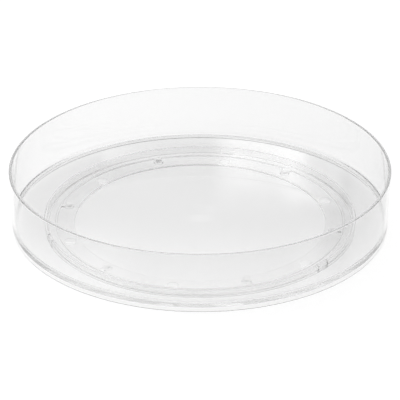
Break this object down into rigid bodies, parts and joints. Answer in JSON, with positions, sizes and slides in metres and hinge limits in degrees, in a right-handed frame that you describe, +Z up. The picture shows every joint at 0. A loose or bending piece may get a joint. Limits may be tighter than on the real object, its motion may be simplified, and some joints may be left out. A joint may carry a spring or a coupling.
{
  "type": "turntable tray",
  "caption": "Round clear plastic tray with a low drafted wall that turns on a ball ring over a smaller clear base ring, for perfume bottles and cosmetics.",
  "frame": {"origin": "on the turning axis, in the plane of the table that the feet stand on", "axes": "+Z up along the turning axis, +X to the right and +Y to the back of the tray as it is usually seen"},
  "size_m": [0.28, 0.28, 0.0495],
  "materials": {
    "tray_clear": "gloss, clear",
    "base_clear": "gloss, clear",
    "cage_clear": "gloss, clear",
    "ball_clear": "polished, clear",
    "foot_silicone": "matt, translucent"
  },
  "bodies": {
    "base": {"base": "base_clear", "foot_1": "foot_silicone", "foot_2": "foot_silicone", "foot_3": "foot_silicone", "foot_4": "foot_silicone", "foot_5": "foot_silicone", "foot_6": "foot_silicone"},
    "tray": {"tray": "tray_clear"},
    "cage": {"ball_cage": "cage_clear"},
    "ball_1": {"ball_1": "ball_clear"},
    "ball_2": {"ball_2": "ball_clear"},
    "ball_3": {"ball_3": "ball_clear"},
    "ball_4": {"ball_4": "ball_clear"},
    "ball_5": {"ball_5": "ball_clear"},
    "ball_6": {"ball_6": "ball_clear"}
  },
  "joints": [
    {"name": "tray_spin", "type": "hinge", "parent": "base", "child": "tray", "pos_m": [0, 0, 0.0075], "axis": [0, 0, 1], "continuous": true},
    {"name": "cage_spin", "type": "hinge", "parent": "base", "child": "cage", "pos_m": [0, 0, 0.00495], "axis": [0, 0, 1], "continuous": true},
    {"name": "ball_1_roll", "type": "hinge", "parent": "cage", "child": "ball_1", "pos_m": [0.06561, 0.07547, 0.00495], "axis": [0.6561, 0.7547, 0], "continuous": true},
    {"name": "ball_2_roll", "type": "hinge", "parent": "cage", "child": "ball_2", "pos_m": [-0.03256, 0.09455, 0.00495], "axis": [-0.3256, 0.9455, 0], "continuous": true},
    {"name": "ball_3_roll", "type": "hinge", "parent": "cage", "child": "ball_3", "pos_m": [-0.09816, 0.01908, 0.00495], "axis": [-0.9816, 0.1908, 0], "continuous": true},
    {"name": "ball_4_roll", "type": "hinge", "parent": "cage", "child": "ball_4", "pos_m": [-0.06561, -0.07547, 0.00495], "axis": [-0.6561, -0.7547, 0], "continuous": true},
    {"name": "ball_5_roll", "type": "hinge", "parent": "cage", "child": "ball_5", "pos_m": [0.03256, -0.09455, 0.00495], "axis": [0.3256, -0.9455, 0], "continuous": true},
    {"name": "ball_6_roll", "type": "hinge", "parent": "cage", "child": "ball_6", "pos_m": [0.09816, -0.01908, 0.00495], "axis": [0.9816, -0.1908, 0], "continuous": true}
  ],
  "couplings": [
    {"joint": "cage_spin", "follows": "tray_spin", "ratio": 0.5},
    {"joint": "ball_1_roll", "follows": "tray_spin", "ratio": -20},
    {"joint": "ball_2_roll", "follows": "tray_spin", "ratio": -20},
    {"joint": "ball_3_roll", "follows": "tray_spin", "ratio": -20},
    {"joint": "ball_4_roll", "follows": "tray_spin", "ratio": -20},
    {"joint": "ball_5_roll", "follows": "tray_spin", "ratio": -20},
    {"joint": "ball_6_roll", "follows": "tray_spin", "ratio": -20}
  ]
}
